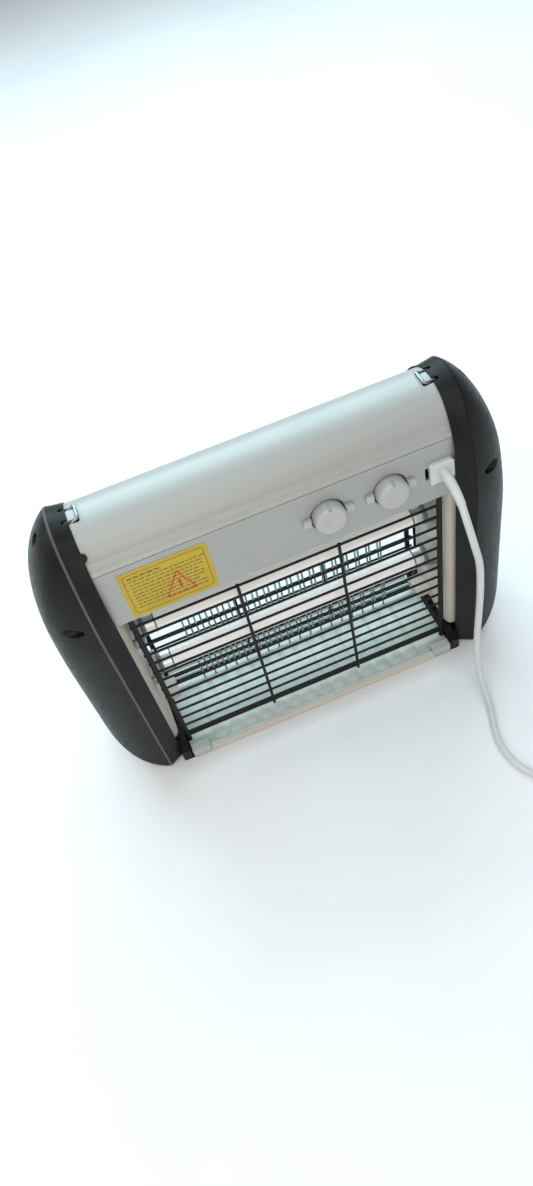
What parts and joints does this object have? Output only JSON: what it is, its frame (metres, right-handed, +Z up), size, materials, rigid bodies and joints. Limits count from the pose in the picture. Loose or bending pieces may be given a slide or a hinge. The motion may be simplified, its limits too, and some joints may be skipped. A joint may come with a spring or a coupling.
{
  "type": "electric bug zapper",
  "caption": "Electric insect zapper: arched hood with end caps over lamps, a high-voltage wire grid, wire guards, a slide-out collection tray and a mains lead.",
  "frame": {"origin": "centre of the footprint, on the surface the zapper stands on", "axes": "+X along the lamps, +Z up, -Y towards the service side with the starters and the mains lead"},
  "size_m": [0.3835, 0.2304, 0.2525],
  "materials": {
    "hood_aluminium": "satin",
    "label_film": "satin",
    "zinc_steel": "satin",
    "black_plastic": "matte",
    "black_wire": "satin",
    "bright_wire": "bright",
    "ivory_plastic": "satin",
    "white_plastic": "satin",
    "lamp_glass": "phosphor-coated, opaque",
    "lamp_metal": "satin",
    "brass": "satin",
    "tray_plastic": "satin",
    "core_steel": "varnished laminations",
    "winding_tape": "wrapped tape",
    "board_green": "lacquered",
    "capacitor_film": "dipped",
    "cord_white": "satin"
  },
  "bodies": {
    "housing": {"top_hood": "hood_aluminium", "service_panel": "hood_aluminium", "plain_panel": "hood_aluminium", "caution_label": "label_film", "chassis_plate": "zinc_steel", "left_cover_screws": "zinc_steel", "right_cover_screws": "zinc_steel", "left_hanger_bracket": "zinc_steel", "right_hanger_bracket": "zinc_steel", "left_end_frame": "black_plastic", "right_end_frame": "black_plastic", "left_end_cover": "black_plastic", "right_end_cover": "black_plastic", "front_guard": "black_wire", "rear_guard": "black_wire", "front_tie_bar": "black_wire", "rear_tie_bar": "black_wire", "front_grid_wires": "bright_wire", "rear_grid_wires": "bright_wire", "grid_rods": "bright_wire", "left_inner_plate": "ivory_plastic", "right_inner_plate": "ivory_plastic", "grid_insulators": "ivory_plastic", "upper_left_lampholder": "white_plastic", "upper_right_lampholder": "white_plastic", "lower_left_lampholder": "white_plastic", "lower_right_lampholder": "white_plastic", "left_starter_socket": "white_plastic", "right_starter_socket": "white_plastic", "cord_plate": "white_plastic", "terminal_block": "white_plastic", "plug_pins": "brass", "left_ballast_core": "core_steel", "right_ballast_core": "core_steel", "left_ballast_winding": "winding_tape", "right_ballast_winding": "winding_tape", "high_voltage_board": "board_green", "board_capacitors": "capacitor_film", "cord_boot": "cord_white", "cord_tube": "cord_white", "cord_coil": "cord_white", "cord_tail": "cord_white", "plug_body": "cord_white"},
    "tray": {"collection_tray": "tray_plastic", "left_tray_grip": "white_plastic", "right_tray_grip": "white_plastic"},
    "left_bail": {"left_hanger_bail": "bright_wire"},
    "right_bail": {"right_hanger_bail": "bright_wire"},
    "left_starter_can": {"left_starter": "white_plastic", "left_starter_contacts": "brass"},
    "right_starter_can": {"right_starter": "white_plastic", "right_starter_contacts": "brass"},
    "lower_lamp": {"lower_lamp_tube": "lamp_glass", "lower_lamp_caps": "lamp_metal", "lower_lamp_pins": "brass"},
    "upper_lamp": {"upper_lamp_tube": "lamp_glass", "upper_lamp_caps": "lamp_metal", "upper_lamp_pins": "brass"}
  },
  "joints": [
    {"name": "tray_slide", "type": "slide", "parent": "housing", "child": "tray", "axis": [0, -1, 0], "range_m": [0, 0.05]},
    {"name": "left_bail_pivot", "type": "hinge", "parent": "housing", "child": "left_bail", "pos_m": [-0.12, 0, 0.2446], "axis": [0, -1, 0], "range_deg": [0, 55]},
    {"name": "right_bail_pivot", "type": "hinge", "parent": "housing", "child": "right_bail", "pos_m": [0.12, 0, 0.2446], "axis": [0, 1, 0], "range_deg": [0, 55]},
    {"name": "left_starter_twist", "type": "hinge", "parent": "housing", "child": "left_starter_can", "pos_m": [0.031, -0.03197, 0.2006], "axis": [0, -0.9973, 0.0734], "range_deg": [0, 45]},
    {"name": "right_starter_twist", "type": "hinge", "parent": "housing", "child": "right_starter_can", "pos_m": [0.0736, -0.03197, 0.2006], "axis": [0, -0.9973, 0.0734], "range_deg": [0, 45]},
    {"name": "lower_lamp_twist", "type": "hinge", "parent": "housing", "child": "lower_lamp", "pos_m": [0, -0.008, 0.089], "axis": [1, 0, 0], "range_deg": [0, 90]},
    {"name": "upper_lamp_twist", "type": "hinge", "parent": "housing", "child": "upper_lamp", "pos_m": [0, -0.008, 0.137], "axis": [1, 0, 0], "range_deg": [0, 90]}
  ]
}
